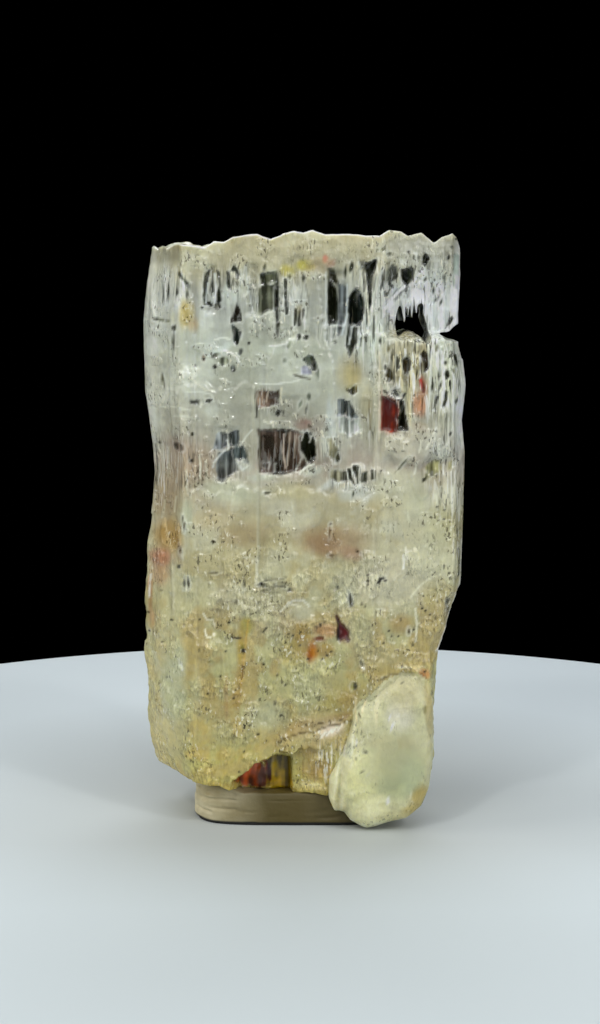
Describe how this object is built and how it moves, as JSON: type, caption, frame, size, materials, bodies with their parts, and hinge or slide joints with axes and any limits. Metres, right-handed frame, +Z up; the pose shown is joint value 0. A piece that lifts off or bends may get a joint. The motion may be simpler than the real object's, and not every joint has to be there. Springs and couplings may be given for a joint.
{
  "type": "mineral specimen",
  "caption": "Upright flattened beryl prism with a jagged crown, a broken lower corner and a waxy lobe, held up by a pad of mounting putty.",
  "frame": {"origin": "on the surface that the specimen stands on, below the middle of its outline seen from above", "axes": "+Z up along the crystal's length, +X to the right of the main face, -Y out of the main face towards the viewer"},
  "size_m": [0.0282, 0.0156, 0.0518],
  "materials": {
    "pale_beryl": "greasy to glassy on the growth faces, milky inside, frosted on the crown and etched in the lower half",
    "off_white_putty": "soft satin putty with creases and finger marks"
  },
  "bodies": {
    "root": {"goshenite_crystal": "pale_beryl", "mounting_putty": "off_white_putty"}
  },
  "joints": []
}
